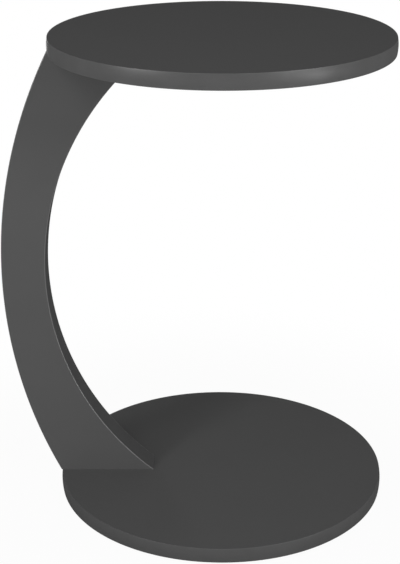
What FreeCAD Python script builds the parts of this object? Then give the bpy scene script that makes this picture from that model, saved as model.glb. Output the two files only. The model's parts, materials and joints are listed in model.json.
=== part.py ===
"""C-shaped side table: two round boards, one above the other, carried by a crescent panel at one side.

The boards and the two leaves of the panel are laminated board with a rounded edging strip glued all round.
The top is drawn down by cam fittings set in the rear leaf, so that its upper face stays clear. The base is
screwed on from below. Dowels locate the top, and the base stands on glued-on glides.

Millimetres, +Z up. The origin is on the floor, in the middle of the table's footprint. The panel stands in
the XZ plane on the -X side, and the open side of the C faces +X. The rear leaf is the one on the +Y side.
"""

import FreeCAD
import Part

import math
import os

from FreeCAD import Vector

# Boards, both alike
board_diameter = 400.0  # edging included
board_thickness = 18.0

# Crescent panel, two leaves glued face to face
panel_height = 533.0  # clear height between the two boards
panel_leaf_thickness = 18.0
panel_end_length = 115.5  # length of each end along the board that it meets
panel_bulge = 63.0  # how far the outer edge stands out past the boards' rims
panel_waist = 52.5  # width half way up

# Edging strip of boards and panel
edging_thickness = 1.0  # also the radius of its exposed corners
edging_round_steps = 2  # flats that make up the rounding

# Fastener stations along each end of the panel, from its outer corner
station_shares = (0.13, 0.31, 0.49)  # shares of the panel's end length

# Fits and cuts
fit_clearance = 0.05  # room round a fastener in its hole, on the radius
hole_end_clearance = 0.5  # room past the end of a fastener in a blind hole
cut_overrun = 1.0  # how far a cutting tool stands out of the face that it cuts

# Dowels
dowel_diameter = 8.0
dowel_length = 30.0
dowel_depth_in_board = 12.0

# Cam locks of the top
cam_diameter = 15.0
cam_setback = 34.0  # from the panel's top end to the cam's axis
cam_nose = 4.5  # how far the cam reaches past the bolt's axis
cam_slot_floor = 2.0  # from the cam's axis to the floor of the slot that catches the bolt
cam_drive_length = 9.0
cam_drive_width = 1.8
cam_drive_depth = 2.5

# Cam bolts, from the thread in the top down to the head in the cam
bolt_diameter = 6.0
bolt_length_in_top = 11.0
bolt_neck_diameter = 3.6
bolt_neck_length = 4.0
bolt_head_diameter = 6.2
bolt_head_length = 2.6
bolt_hole_clearance = 1.0  # room round the bolt in the leaf, on the radius

# Stick-on cover caps of the cams
cap_diameter = 18.0
cap_thickness = 0.6

# Base screws
screw_length = 50.0
screw_diameter = 7.0
screw_head_diameter = 10.0
screw_head_length = 4.0
screw_head_recess = 0.4  # how deep the head lies in the base's under face
screw_socket_flats = 4.0
screw_socket_depth = 3.0

# Glides
glide_count = 4
glide_diameter = 24.0
glide_height = 5.0
glide_inset = 35.0  # from the base's rim to a glide's axis

# Heights and places that follow
rim_radius = board_diameter / 2
base_z = glide_height
panel_z = base_z + board_thickness
top_z = panel_z + panel_height
panel_middle_z = (panel_z + top_z) / 2
axis_x = panel_bulge / 2
outer_corner_x = axis_x - rim_radius
outer_crest_x = outer_corner_x - panel_bulge
inner_corner_x = outer_corner_x + panel_end_length
inner_crest_x = outer_crest_x + panel_waist
panel_thickness = 2 * panel_leaf_thickness
panel_front_y = -panel_leaf_thickness
panel_rear_y = panel_leaf_thickness
front_leaf_y = panel_front_y / 2
rear_leaf_y = panel_rear_y / 2
cam_height = panel_rear_y - rear_leaf_y + cam_nose
cam_z = top_z - cam_setback

# Places of the fasteners along the panel's ends, as (x, y)
first_x, middle_x, last_x = [outer_corner_x + share * panel_end_length for share in station_shares]
bolt_places = [(first_x, rear_leaf_y), (last_x, rear_leaf_y)]
dowel_places = [(first_x, front_leaf_y), (last_x, front_leaf_y)]
screw_places = [(first_x, front_leaf_y), (middle_x, rear_leaf_y), (last_x, front_leaf_y)]

# Places of the glides round the base, as (x, y), the first half a step off the panel's plane
glide_step = 2 * math.pi / glide_count
glide_angles = [glide_step * (index + 0.5) for index in range(glide_count)]
glide_circle_radius = rim_radius - glide_inset
glide_places = [
    (axis_x + glide_circle_radius * math.cos(angle), glide_circle_radius * math.sin(angle))
    for angle in glide_angles
]

ORIGIN = Vector(0, 0, 0)
UP = Vector(0, 0, 1)
ALONG_X = Vector(1, 0, 0)


# Shared shapes


def turned(profile):
    """Solid turned about the Z axis from the (radius, z) points of its section, in order round it."""
    points = [Vector(radius, 0, z) for radius, z in profile]
    return Part.Face(Part.makePolygon(points + points[:1])).revolve(ORIGIN, UP, 360)


def upright(radius, low, high):
    """Cylinder on the Z axis between two heights."""
    return Part.makeCylinder(radius, high - low, Vector(0, 0, low))


def placed(shape, places):
    """Copies of a shape at (x, y) places."""
    return [shape.translated(Vector(x, y, 0)) for x, y in places]


def facing_rear(shape, x, y, z):
    """Copy of a shape built along +Z, turned to point along +Y and put at a place."""
    copy = shape.copy()
    copy.rotate(ORIGIN, ALONG_X, -90)
    return copy.translated(Vector(x, y, z))


def less(shape, tools):
    """Shape with every tool cut out of it."""
    for tool in tools:
        shape = shape.cut(tool)
    return shape


def edging_ring(exposed_radius, outward, width):
    """Ring of edging strip about the Z axis, with the corners of its exposed face rounded.

    outward is +1 where the exposed face is the ring's outside and -1 where it is the inside.
    """
    back = exposed_radius - outward * edging_thickness
    flat = width / 2 - edging_thickness
    upper = []
    for step in range(edging_round_steps + 1):
        angle = math.pi / 2 * step / edging_round_steps
        radius = back + outward * edging_thickness * math.sin(angle)
        upper.append((radius, flat + edging_thickness * math.cos(angle)))
    lower = [(radius, -z) for radius, z in reversed(upper)]
    return turned(upper + lower)


# Outline of the crescent panel


def edge_arc(corner_x, crest_x):
    """Centre x and radius of an edge of the panel, an arc from corner to corner over its crest."""
    sagitta = corner_x - crest_x
    radius = ((panel_height / 2) ** 2 + sagitta**2) / (2 * sagitta)
    return crest_x + radius, radius


def arc_points(centre_x, radius):
    """Bottom, crest and top points of an arc, where the panel's ends cut it."""
    end_x = centre_x - math.sqrt(radius**2 - (panel_height / 2) ** 2)
    bottom = Vector(end_x, 0, panel_z)
    crest = Vector(centre_x - radius, 0, panel_middle_z)
    top = Vector(end_x, 0, top_z)
    return bottom, crest, top


def crescent(left_arc, right_arc, from_y, to_y):
    """Solid between two arcs and the panel's flat ends, from one depth to another."""
    left_bottom, left_crest, left_top = arc_points(*left_arc)
    right_bottom, right_crest, right_top = arc_points(*right_arc)
    edges = [
        Part.LineSegment(left_bottom, right_bottom).toShape(),
        Part.Arc(right_bottom, right_crest, right_top).toShape(),
        Part.LineSegment(right_top, left_top).toShape(),
        Part.Arc(left_top, left_crest, left_bottom).toShape(),
    ]
    face = Part.Face(Part.Wire(edges))
    face.translate(Vector(0, from_y, 0))
    return face.extrude(Vector(0, to_y - from_y, 0))


outer_centre_x, outer_radius = edge_arc(outer_corner_x, outer_crest_x)
inner_centre_x, inner_radius = edge_arc(inner_corner_x, inner_crest_x)
outer_leaf_arc = (outer_centre_x, outer_radius - edging_thickness)
inner_leaf_arc = (inner_centre_x, inner_radius + edging_thickness)


# Fasteners on the Z axis, each with the hole that takes it


def dowel():
    """Dowel across the joint of panel and top, and its hole."""
    high = top_z + dowel_depth_in_board
    low = high - dowel_length
    radius = dowel_diameter / 2
    hole = upright(radius + fit_clearance, low - hole_end_clearance, high + hole_end_clearance)
    return upright(radius, low, high), hole


def cam_bolt():
    """Bolt that stands in the top's under face, with its head in the cam below, and its two holes."""
    head_bottom = cam_z + cam_slot_floor + fit_clearance
    head_top = head_bottom + bolt_head_length
    neck_top = head_top + bolt_neck_length
    bolt_top = top_z + bolt_length_in_top
    radius = bolt_diameter / 2
    bolt = turned([
        (0, head_bottom),
        (bolt_head_diameter / 2, head_bottom),
        (bolt_head_diameter / 2, head_top),
        (bolt_neck_diameter / 2, head_top),
        (bolt_neck_diameter / 2, neck_top),
        (radius, neck_top),
        (radius, bolt_top),
        (0, bolt_top),
    ])
    hole_in_top = upright(radius + fit_clearance, top_z - cut_overrun, bolt_top + hole_end_clearance)
    hole_in_leaf = upright(radius + bolt_hole_clearance, cam_z, top_z + cut_overrun)
    return bolt, hole_in_top, hole_in_leaf


def base_screw():
    """Screw with a hexagon socket, up through the base into the panel, and its stepped hole."""
    head_z = base_z + screw_head_recess
    seat_z = head_z + screw_head_length
    tip_z = head_z + screw_length
    radius = screw_diameter / 2
    head_radius = screw_head_diameter / 2
    screw = turned([
        (0, head_z),
        (head_radius, head_z),
        (head_radius, seat_z),
        (radius, seat_z),
        (radius, tip_z),
        (0, tip_z),
    ])
    socket_radius = screw_socket_flats / math.sqrt(3)
    corners = [
        Vector(socket_radius * math.cos(angle), socket_radius * math.sin(angle), head_z - cut_overrun)
        for angle in (math.pi / 3 * index for index in range(6))
    ]
    hexagon = Part.Face(Part.makePolygon(corners + corners[:1]))
    socket = hexagon.extrude(UP * (cut_overrun + screw_socket_depth))
    hole = turned([
        (0, base_z - cut_overrun),
        (head_radius + fit_clearance, base_z - cut_overrun),
        (head_radius + fit_clearance, seat_z),
        (radius + fit_clearance, seat_z),
        (radius + fit_clearance, tip_z + hole_end_clearance),
        (0, tip_z + hole_end_clearance),
    ])
    return screw.cut(socket), hole


def cam_lock():
    """Cam built along +Z with its nose at z 0, and its bolt's head on the -Y side of the axis.

    A slot with a narrower mouth, open at one side, catches the head. A cross in the face takes a driver.
    """
    radius = cam_diameter / 2
    head_room = bolt_head_diameter / 2 + fit_clearance
    neck_room = bolt_neck_diameter / 2 + fit_clearance
    slot_roof = cam_slot_floor + bolt_head_length + 2 * fit_clearance
    slot_length = head_room + radius + cut_overrun
    mouth_depth = radius + cut_overrun - cam_slot_floor
    drive_floor = cam_height - cam_drive_depth
    drive_height = cam_drive_depth + cut_overrun
    tools = [
        Part.makeBox(slot_length, slot_roof - cam_slot_floor, 2 * head_room,
                     Vector(-head_room, -slot_roof, cam_nose - head_room)),
        Part.makeBox(slot_length, mouth_depth, 2 * neck_room,
                     Vector(-head_room, -cam_slot_floor - mouth_depth, cam_nose - neck_room)),
        Part.makeBox(cam_drive_length, cam_drive_width, drive_height,
                     Vector(-cam_drive_length / 2, -cam_drive_width / 2, drive_floor)),
        Part.makeBox(cam_drive_width, cam_drive_length, drive_height,
                     Vector(-cam_drive_width / 2, -cam_drive_length / 2, drive_floor)),
    ]
    return less(upright(radius, 0, cam_height), tools)


# Boards and edging


def round_board(low):
    """Core of a round board whose under face is at a height, before its holes are drilled."""
    return upright(rim_radius - edging_thickness, low, low + board_thickness).translated(Vector(axis_x, 0, 0))


def board_edging(low):
    """Edging strip round a board whose under face is at a height."""
    ring = edging_ring(rim_radius, 1, board_thickness)
    return ring.translated(Vector(axis_x, 0, low + board_thickness / 2))


def panel_edging(centre_x, radius, outward):
    """Edging strip along one edge of the panel, across both leaves: the piece of a ring between the ends."""
    ring = facing_rear(edging_ring(radius, outward, panel_thickness), centre_x, 0, panel_middle_z)
    corner = Vector(outer_crest_x - cut_overrun, panel_front_y - cut_overrun, panel_z)
    depth = panel_thickness + 2 * cut_overrun
    return ring.common(Part.makeBox(centre_x - corner.x, depth, panel_height, corner))


# The whole table


def build():
    pin, pin_hole = dowel()
    bolt, bolt_hole_in_top, bolt_hole_in_leaf = cam_bolt()
    screw, screw_hole = base_screw()
    glide = upright(glide_diameter / 2, 0, glide_height)
    cap = upright(cap_diameter / 2, 0, cap_thickness)

    pocket_bottom_y = panel_rear_y - cam_height - hole_end_clearance
    pocket = upright(cam_diameter / 2 + fit_clearance, 0, panel_rear_y - pocket_bottom_y + cut_overrun)
    pockets = [facing_rear(pocket, x, pocket_bottom_y, cam_z) for x, _ in bolt_places]
    pin_holes = placed(pin_hole, dowel_places)
    screw_holes = placed(screw_hole, screw_places)
    front_leaf = crescent(outer_leaf_arc, inner_leaf_arc, panel_front_y, 0)
    rear_leaf = crescent(outer_leaf_arc, inner_leaf_arc, 0, panel_rear_y)
    rear_leaf = less(rear_leaf, pockets + placed(bolt_hole_in_leaf, bolt_places))

    nodes = {
        "top_board": [less(round_board(top_z), pin_holes + placed(bolt_hole_in_top, bolt_places))],
        "top_edging": [board_edging(top_z)],
        "base_board": [less(round_board(base_z), screw_holes)],
        "base_edging": [board_edging(base_z)],
        "panel_front_leaf": [less(front_leaf, pin_holes + screw_holes)],
        "panel_rear_leaf": [less(rear_leaf, screw_holes)],
        "panel_outer_edging": [panel_edging(outer_centre_x, outer_radius, 1)],
        "panel_inner_edging": [panel_edging(inner_centre_x, inner_radius, -1)],
        "top_dowels": placed(pin, dowel_places),
        "top_cam_bolts": placed(bolt, bolt_places),
        "base_screws": placed(screw, screw_places),
        "floor_glides": placed(glide, glide_places),
    }
    for index, (x, _) in enumerate(bolt_places, start=1):
        nodes[f"cam_lock_{index}"] = [facing_rear(cam_lock(), x, panel_rear_y - cam_height, cam_z)]
        nodes[f"cam_cap_{index}"] = [facing_rear(cap, x, panel_rear_y, cam_z)]

    os.makedirs("parts", exist_ok=True)
    for name, solids in nodes.items():
        shape = solids[0] if len(solids) == 1 else Part.makeCompound(solids)
        shape.exportStep(os.path.join("parts", name + ".step"))


build()
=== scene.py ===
"""Looks of a C-shaped side table, laid out as a Blender add-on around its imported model.

Metres, +Z up, in the model's own frame. The boards, the panel's leaves and the fittings inside keep their
shapes from the model and get finishes. The edging strips, cover caps, screws and glides are built here, with
the rounding and seams that show close up.
"""

import json
import math

import bmesh
import bpy
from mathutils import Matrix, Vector


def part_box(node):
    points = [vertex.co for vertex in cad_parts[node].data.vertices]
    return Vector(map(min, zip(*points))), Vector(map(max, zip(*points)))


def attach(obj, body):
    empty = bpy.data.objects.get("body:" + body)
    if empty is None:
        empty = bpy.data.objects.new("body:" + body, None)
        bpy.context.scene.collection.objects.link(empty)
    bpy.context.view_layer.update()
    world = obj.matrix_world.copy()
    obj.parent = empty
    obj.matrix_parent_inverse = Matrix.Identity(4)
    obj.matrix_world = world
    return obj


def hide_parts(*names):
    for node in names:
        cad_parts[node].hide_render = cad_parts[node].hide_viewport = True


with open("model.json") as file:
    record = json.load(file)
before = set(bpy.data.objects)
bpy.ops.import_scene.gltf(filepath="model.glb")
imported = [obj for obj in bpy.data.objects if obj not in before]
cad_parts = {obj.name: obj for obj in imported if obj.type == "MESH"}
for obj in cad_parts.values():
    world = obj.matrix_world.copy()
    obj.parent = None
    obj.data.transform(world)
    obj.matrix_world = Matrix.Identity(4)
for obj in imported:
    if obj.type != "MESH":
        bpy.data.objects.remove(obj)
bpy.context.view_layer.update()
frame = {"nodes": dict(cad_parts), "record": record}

bl_info = {
    "name": "C-Shaped Side Table",
    "version": (1, 0, 0),
    "blender": (4, 5, 0),
    "location": "View3D > Sidebar > Side Table",
    "description": "Edging, fittings, finishes and studio of a C-shaped side table",
    "category": "Object",
}

BODY = "root"
BOARD_NODES = ("top_board", "base_board", "panel_front_leaf", "panel_rear_leaf")
PLATED_NODES = ("top_cam_bolts",)
CAST_NODES = ("cam_lock_1", "cam_lock_2")
DOWEL_NODES = ("top_dowels",)
CAP_NODES = ("cam_cap_1", "cam_cap_2")

TOP_LOW, TOP_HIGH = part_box("top_edging")
BASE_LOW, BASE_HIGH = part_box("base_edging")
OUTER_LOW, OUTER_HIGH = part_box("panel_outer_edging")
INNER_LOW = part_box("panel_inner_edging")[0]
GLIDE_LOW, GLIDE_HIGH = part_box("floor_glides")
SCREW_LOW, SCREW_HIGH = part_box("base_screws")

MOUNTS = {mount["name"]: Vector(mount["pos_m"]) for mount in frame["record"]["mounts"]}
AXIS_X = MOUNTS["table_top"].x  # both boards are centred on the upright axis here
RIM_RADIUS = (TOP_HIGH.y - TOP_LOW.y) / 2

RING_SEGMENTS = 240  # round a board's edging
ARC_SEGMENTS = 120  # along the panel's edging
SMALL_RING_SEGMENTS = 48  # round a cap, a glide or a screw
ROUND_STEPS = 4  # over a rounded corner
CROWN_STEPS = 8  # over half of a strip's crowned face
CROWN_POWER = 2  # the crown steepens towards the strip's corners
CORNER_FADE = 0.0009  # width over which a polished corner fades into the strip's face
CORNER = "corner"  # mesh value that is 1 on an edging strip's rounded corners
SHARP_ANGLE = math.radians(38)  # edges that turn by more than this stay sharp


class EdgingSizes(bpy.types.PropertyGroup):
    """Sizes of the edging strips on the boards and the panel."""

    thickness: bpy.props.FloatProperty(
        name="Thickness", description="Thickness of the edging strip", default=0.001, unit="LENGTH")
    rim_crown: bpy.props.FloatProperty(
        name="Rim crown", description="How far the boards' edging swells at its middle", default=0.0008,
        unit="LENGTH")
    panel_crown: bpy.props.FloatProperty(
        name="Panel crown", description="How far the panel's edging swells at its middle", default=0.0001,
        unit="LENGTH")
    seam: bpy.props.FloatProperty(
        name="Seam", description="Bevel of the strip along the glue line", default=0.0001, unit="LENGTH")
    panel_end: bpy.props.FloatProperty(
        name="Panel end", description="Length of each end of the panel, edging included", default=0.1155,
        unit="LENGTH")


class FittingSizes(bpy.types.PropertyGroup):
    """Sizes of the cover caps, screws and glides."""

    cap_rounding: bpy.props.FloatProperty(
        name="Cap rounding", description="Radius of a cover cap's rim", default=0.0004, unit="LENGTH")
    glide_radius: bpy.props.FloatProperty(
        name="Glide radius", description="Radius of a glide", default=0.012, unit="LENGTH")
    glide_rounding: bpy.props.FloatProperty(
        name="Glide rounding", description="Radius of a glide's lower edge", default=0.0016, unit="LENGTH")
    screw_radius: bpy.props.FloatProperty(
        name="Screw radius", description="Radius of a base screw's shank", default=0.0035, unit="LENGTH")
    screw_head_radius: bpy.props.FloatProperty(
        name="Screw head radius", description="Radius of a base screw's head", default=0.005, unit="LENGTH")
    screw_head_length: bpy.props.FloatProperty(
        name="Screw head length", description="Length of a base screw's head", default=0.004, unit="LENGTH")
    screw_bevel: bpy.props.FloatProperty(
        name="Screw bevel", description="Bevel of a base screw's head", default=0.0004, unit="LENGTH")
    socket_flats: bpy.props.FloatProperty(
        name="Socket", description="Width across the flats of a screw's socket", default=0.004, unit="LENGTH")
    socket_depth: bpy.props.FloatProperty(
        name="Socket depth", description="Depth of a screw's socket", default=0.003, unit="LENGTH")


class Finishes(bpy.types.PropertyGroup):
    """Colours, gloss and grain of the finishes."""

    board_dark: bpy.props.FloatVectorProperty(
        name="Board dark", description="Darker tone of the laminate", subtype="COLOR", size=4,
        default=(0.055, 0.055, 0.055, 1))
    board_light: bpy.props.FloatVectorProperty(
        name="Board light", description="Lighter tone of the laminate", subtype="COLOR", size=4,
        default=(0.089, 0.089, 0.089, 1))
    edging_dark: bpy.props.FloatVectorProperty(
        name="Edging dark", description="Darker tone of the edging", subtype="COLOR", size=4,
        default=(0.052, 0.052, 0.052, 1))
    edging_light: bpy.props.FloatVectorProperty(
        name="Edging light", description="Lighter tone of the edging", subtype="COLOR", size=4,
        default=(0.074, 0.074, 0.074, 1))
    glide_dark: bpy.props.FloatVectorProperty(
        name="Glide dark", description="Darker tone of the glides", subtype="COLOR", size=4,
        default=(0.022, 0.022, 0.022, 1))
    glide_light: bpy.props.FloatVectorProperty(
        name="Glide light", description="Lighter tone of the glides", subtype="COLOR", size=4,
        default=(0.034, 0.034, 0.034, 1))
    steel_dark: bpy.props.FloatVectorProperty(
        name="Steel dark", description="Darker tone of the plated steel", subtype="COLOR", size=4,
        default=(0.5, 0.5, 0.48, 1))
    steel_light: bpy.props.FloatVectorProperty(
        name="Steel light", description="Lighter tone of the plated steel", subtype="COLOR", size=4,
        default=(0.6, 0.6, 0.58, 1))
    zinc_dark: bpy.props.FloatVectorProperty(
        name="Zinc dark", description="Darker tone of the cast zinc", subtype="COLOR", size=4,
        default=(0.4, 0.4, 0.39, 1))
    zinc_light: bpy.props.FloatVectorProperty(
        name="Zinc light", description="Lighter tone of the cast zinc", subtype="COLOR", size=4,
        default=(0.5, 0.5, 0.49, 1))
    beech_dark: bpy.props.FloatVectorProperty(
        name="Beech dark", description="Darker tone of the beech", subtype="COLOR", size=4,
        default=(0.5, 0.35, 0.2, 1))
    beech_light: bpy.props.FloatVectorProperty(
        name="Beech light", description="Lighter tone of the beech", subtype="COLOR", size=4,
        default=(0.62, 0.46, 0.29, 1))
    rim_gloss: bpy.props.FloatProperty(
        name="Rim gloss", description="Weight of the satin coat on the boards' edging",
        default=0.067, min=0, max=1, subtype="FACTOR")
    panel_gloss: bpy.props.FloatProperty(
        name="Panel gloss", description="Weight of the satin coat on the panel's edging",
        default=0.022, min=0, max=1, subtype="FACTOR")
    rim_corner_gloss: bpy.props.FloatProperty(
        name="Rim corner gloss",
        description="Weight of the satin coat on the rounded corners of the boards' edging",
        default=0.11, min=0, max=1, subtype="FACTOR")
    panel_corner_gloss: bpy.props.FloatProperty(
        name="Panel corner gloss",
        description="Weight of the satin coat on the rounded corners of the panel's edging",
        default=0.24, min=0, max=1, subtype="FACTOR")
    pebble: bpy.props.FloatProperty(
        name="Pebble", description="Size of the laminate's pressed texture", default=0.0005, unit="LENGTH")
    cloud: bpy.props.FloatProperty(
        name="Cloud", description="Size of the soft changes of tone", default=0.06, unit="LENGTH")


class StageLight(bpy.types.PropertyGroup):
    """Lamps and floor of the studio."""

    sky: bpy.props.FloatProperty(name="Sky", description="Strength of the even light", default=0.181)
    left: bpy.props.FloatProperty(
        name="Left", description="Power of the lamp at the front left", default=27.1, unit="POWER")
    left_high: bpy.props.FloatProperty(
        name="Left high", description="Power of the high lamp at the front left", default=31.0, unit="POWER")
    right: bpy.props.FloatProperty(
        name="Right", description="Power of the lamp at the front right", default=9.0, unit="POWER")
    right_high: bpy.props.FloatProperty(
        name="Right high", description="Power of the high lamp at the front right", default=26.4,
        unit="POWER")
    right_low: bpy.props.FloatProperty(
        name="Right low", description="Power of the low lamp at the right", default=11.3, unit="POWER")
    rear_low: bpy.props.FloatProperty(
        name="Rear low", description="Power of the low lamp behind the table", default=10.0, unit="POWER")
    floor: bpy.props.FloatVectorProperty(
        name="Floor", description="Colour of the floor", subtype="COLOR", size=4, default=(0.4, 0.4, 0.4, 1))


# Shader nodes

MIX_SHARE, MIX_FIRST, MIX_SECOND = 0, 6, 7  # inputs of a Mix node set to colours
MIX_RESULT = 2  # and its output
WHITE = (1, 1, 1, 1)


class Value:
    """Output of a node that takes part in sums as a number does."""

    def __init__(self, shade, socket):
        self.shade = shade
        self.socket = socket

    def join(self, operation, first, second):
        return self.shade.add("ShaderNodeMath", {"operation": operation}, {0: first, 1: second})

    def __add__(self, other):
        return self.join("ADD", self, other)

    def __radd__(self, other):
        return self.join("ADD", other, self)

    def __mul__(self, other):
        return self.join("MULTIPLY", self, other)

    def __rmul__(self, other):
        return self.join("MULTIPLY", other, self)

    def larger(self, other):
        return self.join("MAXIMUM", self, other)


class Shade:
    """Node tree of a material or a world, filled from Python."""

    def __init__(self, tree):
        self.tree = tree
        tree.nodes.clear()

    def add(self, kind, settings=None, sockets=None, output=0):
        node = self.tree.nodes.new(kind)
        for name, setting in (settings or {}).items():
            setattr(node, name, setting)
        for name, content in (sockets or {}).items():
            if isinstance(content, Value):
                self.tree.links.new(content.socket, node.inputs[name])
            else:
                node.inputs[name].default_value = content
        return Value(self, node.outputs[output]) if node.outputs else None

    def place(self):
        return self.add("ShaderNodeTexCoord", output="Object")

    def mesh_value(self, name):
        return self.add("ShaderNodeAttribute", {"attribute_name": name}, output="Fac")

    def ray(self, question):
        return self.add("ShaderNodeLightPath", output=question)

    def noise(self, place, size, detail=2.0):
        return self.add("ShaderNodeTexNoise", None, {"Vector": place, "Scale": 1 / size, "Detail": detail})

    def pebbles(self, place, size):
        return self.add(
            "ShaderNodeTexVoronoi", {"feature": "SMOOTH_F1"}, {"Vector": place, "Scale": 1 / size})

    def upright_grain(self, place, times):
        """Place that draws a pattern out to so many times its length along Z."""
        return self.add("ShaderNodeVectorMath", {"operation": "MULTIPLY"}, {0: place, 1: (1, 1, 1 / times)})

    def smooth_ramp(self, value, start, end, low, high):
        """Low up to the start, high from the end, and smooth between them."""
        return self.add("ShaderNodeMapRange", {"interpolation_type": "SMOOTHSTEP"}, {
            "Value": value, "From Min": start, "From Max": end, "To Min": low, "To Max": high})

    def mixed(self, share, first, second):
        colours = {MIX_SHARE: share, MIX_FIRST: first, MIX_SECOND: second}
        return self.add("ShaderNodeMix", {"data_type": "RGBA"}, colours, output=MIX_RESULT)

    def bump(self, height, strength, depth):
        return self.add("ShaderNodeBump", None, {"Strength": strength, "Distance": depth, "Height": height})

    def principled(self, sockets):
        return self.add("ShaderNodeBsdfPrincipled", None, sockets)

    def surface(self, shader):
        self.add("ShaderNodeOutputMaterial", None, {"Surface": shader})


# Finishes

LAMINATE_SPECKLE = 1.2  # size of the laminate's speckles to that of its pebbles
EDGING_CLOUD = 0.5  # size of the edging's changes of tone to the laminate's
CAP_GRAIN = 0.0005
GLIDE_GRAIN = 0.0004
GLIDE_CLOUD = 0.008
STEEL_SPANGLE = 0.0016
STEEL_GRAIN = 0.0003
ZINC_GRAIN = 0.0006
BEECH_FIBRE = 0.0008
BEECH_FLECK = 0.0004


def new_material(name, fill):
    """Material whose nodes a function makes from its Shade and its place socket."""
    material = bpy.data.materials.new(name)
    material.use_nodes = True
    shade = Shade(material.node_tree)
    shade.surface(fill(shade, shade.place()))
    return material


def laminate():
    """Matte laminate with a fine pressed pebble texture and a faint change of tone."""
    finishes = bpy.context.scene.table_finishes

    def fill(shade, place):
        cloud = shade.noise(place, finishes.cloud, detail=3.0)
        speckle = shade.noise(place, finishes.pebble * LAMINATE_SPECKLE)
        pebble = shade.pebbles(place, finishes.pebble)
        tone = 0.2 * cloud + 0.8 * speckle
        return shade.principled({
            "Base Color": shade.mixed(tone, finishes.board_dark, finishes.board_light),
            "Roughness": 0.56 + 0.1 * speckle + 0.08 * cloud,
            "Specular IOR Level": 0.12,
            "Normal": shade.bump(pebble + 0.4 * speckle, strength=0.7, depth=0.00006),
        })

    return new_material("anthracite laminate", fill)


def edging_plastic(name, gloss, corner_gloss):
    """Plastic of the edging strips, with corners polished by the trimming tool.

    All its gloss is in a thin satin coat. A dense coat at a low weight stays even at grazing angles.
    """
    finishes = bpy.context.scene.table_finishes

    def fill(shade, place):
        cloud = shade.noise(place, finishes.cloud * EDGING_CLOUD)
        speckle = shade.noise(place, finishes.pebble)
        tone = 0.3 * cloud + 0.7 * speckle
        coat = gloss * (0.8 + 0.4 * cloud)
        return shade.principled({
            "Base Color": shade.mixed(tone, finishes.edging_dark, finishes.edging_light),
            "Roughness": 0.74 + 0.06 * speckle + 0.06 * cloud,
            "Specular IOR Level": 0.0,
            "Coat Weight": coat + shade.mesh_value(CORNER) * (corner_gloss - gloss),
            "Coat Roughness": 0.38,
            "Coat IOR": 4.0,
            "Normal": shade.bump(speckle, strength=0.5, depth=0.00004),
        })

    return new_material(name, fill)


def cap_plastic():
    """Matte plastic of the cover caps."""
    finishes = bpy.context.scene.table_finishes

    def fill(shade, place):
        speckle = shade.noise(place, CAP_GRAIN)
        return shade.principled({
            "Base Color": shade.mixed(speckle, finishes.edging_dark, finishes.board_light),
            "Roughness": 0.5 + 0.12 * speckle,
            "Specular IOR Level": 0.2,
            "Normal": shade.bump(speckle, strength=0.2, depth=0.00003),
        })

    return new_material("cap plastic", fill)


def glide_plastic():
    """Black plastic of the glides, dull where it was moulded against a blasted tool."""
    finishes = bpy.context.scene.table_finishes

    def fill(shade, place):
        speckle = shade.noise(place, GLIDE_GRAIN)
        cloud = shade.noise(place, GLIDE_CLOUD)
        return shade.principled({
            "Base Color": shade.mixed(cloud, finishes.glide_dark, finishes.glide_light),
            "Roughness": 0.45 + 0.15 * speckle,
            "Specular IOR Level": 0.4,
            "Normal": shade.bump(speckle, strength=0.3, depth=0.00004),
        })

    return new_material("glide plastic", fill)


def plated_steel():
    """Zinc plated steel with a faint spangle."""
    finishes = bpy.context.scene.table_finishes

    def fill(shade, place):
        spangle = shade.pebbles(place, STEEL_SPANGLE)
        speckle = shade.noise(place, STEEL_GRAIN)
        return shade.principled({
            "Base Color": shade.mixed(spangle, finishes.steel_dark, finishes.steel_light),
            "Metallic": 1.0,
            "Roughness": 0.28 + 0.12 * speckle + 0.08 * spangle,
            "Normal": shade.bump(speckle, strength=0.15, depth=0.00002),
        })

    return new_material("plated steel", fill)


def cast_zinc():
    """Plain die-cast zinc with a grainy skin."""
    finishes = bpy.context.scene.table_finishes

    def fill(shade, place):
        grain = shade.noise(place, ZINC_GRAIN, detail=4.0)
        return shade.principled({
            "Base Color": shade.mixed(grain, finishes.zinc_dark, finishes.zinc_light),
            "Metallic": 1.0,
            "Roughness": 0.45 + 0.2 * grain,
            "Normal": shade.bump(grain, strength=0.3, depth=0.00005),
        })

    return new_material("cast zinc", fill)


def dowel_wood():
    """Bare beech with its grain along the dowel."""
    finishes = bpy.context.scene.table_finishes

    def fill(shade, place):
        fibre = shade.noise(shade.upright_grain(place, times=20), BEECH_FIBRE, detail=4.0)
        fleck = shade.noise(shade.upright_grain(place, times=5), BEECH_FLECK)
        return shade.principled({
            "Base Color": shade.mixed(fibre, finishes.beech_dark, finishes.beech_light),
            "Roughness": 0.55 + 0.2 * fleck,
            "Specular IOR Level": 0.3,
            "Normal": shade.bump(fibre, strength=0.3, depth=0.0001),
        })

    return new_material("dowel beech", fill)


# Meshes


def new_piece(name, vertices, faces, material, slot, *nodes):
    """Piece of the table that stands for nodes of the model."""
    mesh = bpy.data.meshes.new(name)
    mesh.from_pydata(vertices, [], faces)
    shaping = bmesh.new()
    shaping.from_mesh(mesh)
    bmesh.ops.recalc_face_normals(shaping, faces=shaping.faces)
    shaping.to_mesh(mesh)
    shaping.free()
    mesh.shade_smooth()
    mesh.set_sharp_from_angle(angle=SHARP_ANGLE)
    mesh.materials.append(material)
    piece = bpy.data.objects.new(name, mesh)
    bpy.context.scene.collection.objects.link(piece)
    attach(piece, BODY)
    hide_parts(*nodes)
    return piece


def angles_round(segments):
    """Angles of points evenly spaced round a circle."""
    return [2 * math.pi * segment / segments for segment in range(segments)]


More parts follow.
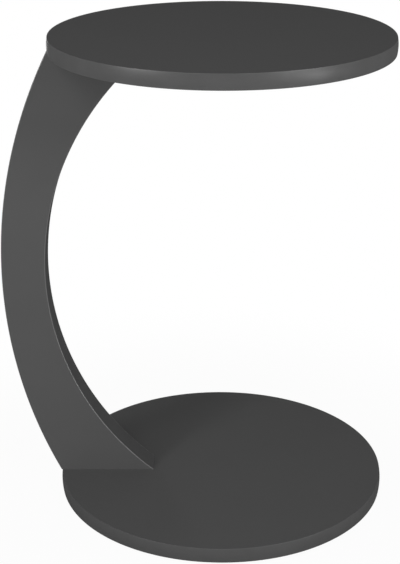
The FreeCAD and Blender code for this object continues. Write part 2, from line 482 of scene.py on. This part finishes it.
def skin(rings, looped=False):
    """Vertices and faces of a skin over closed rings of equal length.

    Looped, the last ring joins the first. Otherwise both ends are capped.
    """
    count = len(rings[0])
    vertices = [point for ring in rings for point in ring]
    faces = []
    for row in range(len(rings) if looped else len(rings) - 1):
        this = row * count
        following = (row + 1) % len(rings) * count
        for step in range(count):
            after = (step + 1) % count
            faces.append((this + step, this + after, following + after, following + step))
    if not looped:
        faces.append(tuple(range(count)))
        faces.append(tuple(range(len(vertices) - count, len(vertices))))
    return vertices, faces


def joined(parts):
    """Several (vertices, faces) as one."""
    vertices = []
    faces = []
    for part_vertices, part_faces in parts:
        shift = len(vertices)
        vertices += part_vertices
        faces += [tuple(index + shift for index in face) for face in part_faces]
    return vertices, faces


def moved(part, shift):
    """Vertices and faces shifted to a place."""
    vertices, faces = part
    return [tuple(Vector(vertex) + Vector(shift)) for vertex in vertices], faces


def strip_section(exposed, outward, width, crown):
    """Closed (radius, offset, corner) section of an edging strip.

    It is rounded and crowned on its exposed side and bevelled at the seam. outward is +1 or -1.
    """
    sizes = bpy.context.scene.table_edging
    radius = sizes.thickness - crown
    half = width / 2
    back = exposed - outward * sizes.thickness
    flat = half - radius
    start = math.asin(sizes.seam / radius)
    upper = [(back, half - sizes.seam, 0)]
    for step in range(ROUND_STEPS + 1):
        angle = start + (math.pi / 2 - start) * step / ROUND_STEPS
        upper.append((back + outward * radius * math.sin(angle), flat + radius * math.cos(angle), 1))
    for step in range(CROWN_STEPS + 1):
        share = (1 - step / CROWN_STEPS) * (flat - CORNER_FADE) / flat
        upper.append((exposed - outward * crown * share**CROWN_POWER, flat * share, 0))
    lower = [(across, -offset, corner) for across, offset, corner in reversed(upper[:-1])]
    return upper + lower


def board_ring(low, high):
    """Vertices, faces and corner values of the edging round a board between two heights."""
    section = strip_section(RIM_RADIUS, 1, high - low, bpy.context.scene.table_edging.rim_crown)
    middle = (low + high) / 2
    rings = []
    for angle in angles_round(RING_SEGMENTS):
        rings.append([
            (AXIS_X + radius * math.cos(angle), radius * math.sin(angle), middle + offset)
            for radius, offset, _ in section
        ])
    vertices, faces = skin(rings, looped=True)
    return vertices, faces, [corner for _, _, corner in section] * len(rings)


def panel_strip(corner_x, crest_x, outward):
    """Vertices, faces and corner values of the edging along an edge of the panel.

    The edge is an arc over its crest between two corners, one above the other.
    """
    low, high = OUTER_LOW.z, OUTER_HIGH.z
    half_height = (high - low) / 2
    middle = (high + low) / 2
    sagitta = corner_x - crest_x
    arc_radius = (half_height**2 + sagitta**2) / (2 * sagitta)
    centre_x = crest_x + arc_radius
    crown = bpy.context.scene.table_edging.panel_crown
    section = strip_section(arc_radius, outward, OUTER_HIGH.y - OUTER_LOW.y, crown)
    rings = []
    for segment in range(ARC_SEGMENTS + 1):
        share = 2 * segment / ARC_SEGMENTS - 1
        ring = []
        for radius, offset, _ in section:
            angle = share * math.asin(half_height / radius)
            ring.append((centre_x - radius * math.cos(angle), offset, middle + radius * math.sin(angle)))
        rings.append(ring)
    vertices, faces = skin(rings)
    return vertices, faces, [corner for _, _, corner in section] * len(rings)


def turned(profile):
    """Rings of a small piece turned about the Z axis, from (radius, z) points."""
    angles = angles_round(SMALL_RING_SEGMENTS)
    rings = []
    for radius, z in profile:
        rings.append([(radius * math.cos(angle), radius * math.sin(angle), z) for angle in angles])
    return rings


def rounded_corner(radius, z, rounding, upward):
    """(radius, z) points over a rounded outside corner, from the side to the face. upward is +1 or -1."""
    points = []
    for step in range(ROUND_STEPS + 1):
        angle = math.pi / 2 * step / ROUND_STEPS
        across = radius - rounding + rounding * math.cos(angle)
        points.append((across, z - upward * rounding * (1 - math.sin(angle))))
    return points


def hexagon_radius(angle, flats):
    """Distance from a hexagon's centre to its outline at an angle."""
    side = math.pi / 3
    return flats / 2 / math.cos(angle % side - side / 2)


def hexagon_ring(flats, z):
    """Ring along a hexagon, with as many points as a turned ring has."""
    ring = []
    for angle in angles_round(SMALL_RING_SEGMENTS):
        radius = hexagon_radius(angle, flats)
        ring.append((radius * math.cos(angle), radius * math.sin(angle), z))
    return ring


def socket_screw(head_z, tip_z):
    """Vertices and faces of a screw with a hexagon socket in its head, upright, head down."""
    sizes = bpy.context.scene.table_fittings
    bevel = sizes.screw_bevel
    seat_z = head_z + sizes.screw_head_length
    socket = [
        hexagon_ring(sizes.socket_flats, head_z + sizes.socket_depth),
        hexagon_ring(sizes.socket_flats, head_z + bevel),
        hexagon_ring(sizes.socket_flats + bevel, head_z),
    ]
    outside = turned([
        (sizes.screw_head_radius - bevel, head_z),
        (sizes.screw_head_radius, head_z + bevel),
        (sizes.screw_head_radius, seat_z),
        (sizes.screw_radius, seat_z),
        (sizes.screw_radius, tip_z - 2 * bevel),
        (sizes.screw_radius - bevel, tip_z),
    ])
    return skin(socket + outside)


# Operators


def finish_nodes(names, material):
    """Give model nodes a material."""
    for name in names:
        for slot in frame["nodes"][name].material_slots:
            slot.material = material


class TABLE_OT_boards(bpy.types.Operator):
    """Finish the round boards and the panel's leaves with laminate"""

    bl_idname = "side_table.boards"
    bl_label = "Boards"

    def execute(self, context):
        finish_nodes(BOARD_NODES, laminate())
        return {"FINISHED"}


class TABLE_OT_edging(bpy.types.Operator):
    """Lay the edging strips round both boards and along both edges of the panel"""

    bl_idname = "side_table.edging"
    bl_label = "Edging"

    def execute(self, context):
        sizes = context.scene.table_edging
        finishes = context.scene.table_finishes
        rim_plastic = edging_plastic("anthracite rim edging", finishes.rim_gloss, finishes.rim_corner_gloss)
        panel_plastic = edging_plastic(
            "anthracite panel edging", finishes.panel_gloss, finishes.panel_corner_gloss)
        outer_corner = AXIS_X - RIM_RADIUS
        inner_corner = outer_corner + sizes.panel_end
        inner_crest = INNER_LOW.x + sizes.thickness
        strips = {
            "top_edging": (board_ring(TOP_LOW.z, TOP_HIGH.z), rim_plastic),
            "base_edging": (board_ring(BASE_LOW.z, BASE_HIGH.z), rim_plastic),
            "panel_outer_edging": (panel_strip(outer_corner, OUTER_LOW.x, 1), panel_plastic),
            "panel_inner_edging": (panel_strip(inner_corner, inner_crest, -1), panel_plastic),
        }
        for node, ((vertices, faces, corners), plastic) in strips.items():
            strip = new_piece(node + "_strip", vertices, faces, plastic, "edging", node)
            strip.data.attributes.new(CORNER, "FLOAT", "POINT").data.foreach_set("value", corners)
        return {"FINISHED"}


class TABLE_OT_caps(bpy.types.Operator):
    """Stick the cover caps over the cams in the panel's rear face"""

    bl_idname = "side_table.caps"
    bl_label = "Cover caps"

    def execute(self, context):
        rounding = context.scene.table_fittings.cap_rounding
        plastic = cap_plastic()
        for node in CAP_NODES:
            low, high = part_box(node)
            radius = (high.z - low.z) / 2
            thickness = high.y - low.y
            profile = [(radius, 0)] + rounded_corner(radius, thickness, rounding, 1)
            vertices, faces = skin(turned(profile))
            centre = (low + high) / 2
            vertices = [(centre.x + x, low.y + z, centre.z - y) for x, y, z in vertices]
            new_piece(node + "_disc", vertices, faces, plastic, "cap", node)
        return {"FINISHED"}


class TABLE_OT_glides(bpy.types.Operator):
    """Glue the glides under the base"""

    bl_idname = "side_table.glides"
    bl_label = "Glides"

    def execute(self, context):
        sizes = context.scene.table_fittings
        profile = [(sizes.glide_radius, GLIDE_HIGH.z)]
        profile += rounded_corner(sizes.glide_radius, GLIDE_LOW.z, sizes.glide_rounding, -1)
        glide = skin(turned(profile))
        places = [place for name, place in MOUNTS.items() if name.startswith("glide_face")]
        vertices, faces = joined([moved(glide, (place.x, place.y, 0)) for place in places])
        new_piece("floor_glide_pads", vertices, faces, glide_plastic(), "glide", "floor_glides")
        return {"FINISHED"}


class TABLE_OT_screws(bpy.types.Operator):
    """Drive the screws up through the base into the panel"""

    bl_idname = "side_table.screws"
    bl_label = "Base screws"

    def execute(self, context):
        inset = context.scene.table_fittings.screw_head_radius
        left, right = SCREW_LOW.x + inset, SCREW_HIGH.x - inset
        front, rear = SCREW_LOW.y + inset, SCREW_HIGH.y - inset
        places = ((left, front, 0), ((left + right) / 2, rear, 0), (right, front, 0))
        screw = socket_screw(SCREW_LOW.z, SCREW_HIGH.z)
        vertices, faces = joined([moved(screw, place) for place in places])
        new_piece("base_socket_screws", vertices, faces, plated_steel(), "fittings", "base_screws")
        return {"FINISHED"}


class TABLE_OT_fittings(bpy.types.Operator):
    """Finish the fittings inside the joints"""

    bl_idname = "side_table.fittings"
    bl_label = "Fittings"

    def execute(self, context):
        finish_nodes(PLATED_NODES, plated_steel())
        finish_nodes(CAST_NODES, cast_zinc())
        finish_nodes(DOWEL_NODES, dowel_wood())
        return {"FINISHED"}


# Studio

FLOOR_RADIUS = 9.0
FLOOR_DROP = 0.0002  # keeps the floor clear of the glides' faces
FLOOR_SEGMENTS = 96
FLOOR_NEAR = 0.25  # distance from the middle of the footprint up to which the shadow shows most
FLOOR_FAR = 0.6  # distance from which the floor is white
FLOOR_NEAR_WHITE = 0.965  # share of white next to the table as the camera sees it
FLOOR_NEAR_MIRRORED = 0.45  # share of white next to the table in gloss
HORIZON_WHITE = 0.02  # sine of the height up to which the sky is white
HORIZON_END = 0.12  # sine of the height from which the sky is at its even strength

CAMERA_PLACE = (0.0173, -1.5823, 0.9027)
CAMERA_TILT = math.radians(90 - 18.90)  # 18.9 degrees below level
CAMERA_SENSOR = 36  # millimetres along the picture's height
CAMERA_LENS = 89.80  # millimetres
CAMERA_SHIFT = (-0.0172, -0.1281)

LAMP_TARGET = Vector((0, 0, 0.3))
LAMPS = (  # name of the power, place, side of the square
    ("left", (-1.839, -1.543, 1.1), 0.6),
    ("left_high", (-1.377, -1.966, 2.6), 1.4),
    ("right", (1.697, -1.697, 0.7), 0.6),
    ("right_high", (1.606, -1.784, 1.8), 0.8),
    ("right_low", (2.078, -1.2, 0.25), 0.4),
    ("rear_low", (-0.821, 2.255, 0.13), 0.2),
)


def floor_material(colour):
    """Pale floor that keeps the table's shadow and turns white away from it."""

    def fill(shade, place):
        distance = shade.add("ShaderNodeVectorMath", {"operation": "LENGTH"}, {0: place}, output="Value")

        def white_from(near_white):
            return shade.smooth_ramp(distance, FLOOR_NEAR, FLOOR_FAR, near_white, 1.0)

        seen = shade.ray("Is Camera Ray")
        mirrored = shade.ray("Is Glossy Ray").larger(shade.ray("Is Transmission Ray"))
        share = (seen * white_from(FLOOR_NEAR_WHITE)).larger(mirrored * white_from(FLOOR_NEAR_MIRRORED))
        lit = shade.add("ShaderNodeBsdfDiffuse", None, {"Color": colour})
        white = shade.add("ShaderNodeEmission", None, {"Color": WHITE, "Strength": 1.0})
        return shade.add("ShaderNodeMixShader", None, {0: share, 1: lit, 2: white})

    return new_material("studio floor", fill)


def light_sky(scene, strength):
    """Even light from above that pales to white at the horizon."""
    world = bpy.data.worlds.new("studio sky")
    world.use_nodes = True
    scene.world = world
    shade = Shade(world.node_tree)
    direction = shade.add("ShaderNodeTexCoord", output="Generated")
    height = shade.add("ShaderNodeSeparateXYZ", None, {0: direction}, output="Z")
    above = shade.smooth_ramp(height, HORIZON_WHITE, HORIZON_END, 0.0, 1.0)
    colour = shade.mixed(above, WHITE, (strength, strength, strength, 1))
    light = shade.add("ShaderNodeBackground", None, {"Color": colour, "Strength": 1.0})
    shade.add("ShaderNodeOutputWorld", None, {"Surface": light})


def hang_lamp(scene, name, place, size, power):
    """Square soft lamp aimed at the table."""
    lamp = bpy.data.lights.new(name, "AREA")
    lamp.size = size
    lamp.energy = power
    holder = bpy.data.objects.new(name, lamp)
    holder.location = place
    holder.rotation_euler = (LAMP_TARGET - Vector(place)).to_track_quat("-Z", "Y").to_euler()
    scene.collection.objects.link(holder)


def lay_floor(scene, colour):
    """Round floor under the table."""
    corners = [
        (FLOOR_RADIUS * math.cos(angle), FLOOR_RADIUS * math.sin(angle), -FLOOR_DROP)
        for angle in angles_round(FLOOR_SEGMENTS)
    ]
    mesh = bpy.data.meshes.new("studio_floor")
    mesh.from_pydata(corners, [], [tuple(range(FLOOR_SEGMENTS))])
    mesh.materials.append(floor_material(colour))
    floor = bpy.data.objects.new("studio_floor", mesh)
    scene.collection.objects.link(floor)


def stand_camera(scene):
    """Camera at the photograph's viewpoint."""
    lens = bpy.data.cameras.new("camera")
    lens.lens = CAMERA_LENS
    lens.sensor_fit = "VERTICAL"
    lens.sensor_height = CAMERA_SENSOR
    lens.shift_x, lens.shift_y = CAMERA_SHIFT
    camera = bpy.data.objects.new("camera", lens)
    camera.location = CAMERA_PLACE
    camera.rotation_euler = (CAMERA_TILT, 0, 0)
    scene.collection.objects.link(camera)
    scene.camera = camera


class TABLE_OT_stage(bpy.types.Operator):
    """Set up the floor, the lamps and the camera"""

    bl_idname = "side_table.stage"
    bl_label = "Stage"

    def execute(self, context):
        scene = context.scene
        light = scene.table_light
        scene.view_settings.view_transform = "Standard"
        lay_floor(scene, light.floor)
        light_sky(scene, light.sky)
        for name, place, size in LAMPS:
            hang_lamp(scene, name, place, size, getattr(light, name))
        stand_camera(scene)
        return {"FINISHED"}


class TABLE_PT_panel(bpy.types.Panel):
    """Steps that build the table's looks"""

    bl_idname = "TABLE_PT_panel"
    bl_label = "Side Table"
    bl_space_type = "VIEW_3D"
    bl_region_type = "UI"
    bl_category = "Side Table"

    def draw(self, context):
        for operator in OPERATORS:
            self.layout.operator(operator.bl_idname)


# Registration

OPERATORS = (
    TABLE_OT_boards, TABLE_OT_edging, TABLE_OT_caps, TABLE_OT_glides, TABLE_OT_screws, TABLE_OT_fittings,
    TABLE_OT_stage,
)
GROUPS = {
    "table_edging": EdgingSizes,
    "table_fittings": FittingSizes,
    "table_finishes": Finishes,
    "table_light": StageLight,
}


def register():
    """Add the property groups, the operators and the panel to Blender."""
    for name, group in GROUPS.items():
        bpy.utils.register_class(group)
        setattr(bpy.types.Scene, name, bpy.props.PointerProperty(type=group))
    for operator in OPERATORS:
        bpy.utils.register_class(operator)
    bpy.utils.register_class(TABLE_PT_panel)


def unregister():
    """Take the panel, the operators and the property groups out again."""
    bpy.utils.unregister_class(TABLE_PT_panel)
    for operator in reversed(OPERATORS):
        bpy.utils.unregister_class(operator)
    for name, group in reversed(GROUPS.items()):
        delattr(bpy.types.Scene, name)
        bpy.utils.unregister_class(group)


def main():
    """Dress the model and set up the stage."""
    register()
    bpy.ops.side_table.boards()
    bpy.ops.side_table.edging()
    bpy.ops.side_table.caps()
    bpy.ops.side_table.glides()
    bpy.ops.side_table.screws()
    bpy.ops.side_table.fittings()
    bpy.ops.side_table.stage()


if __name__ == "__main__":
    main()
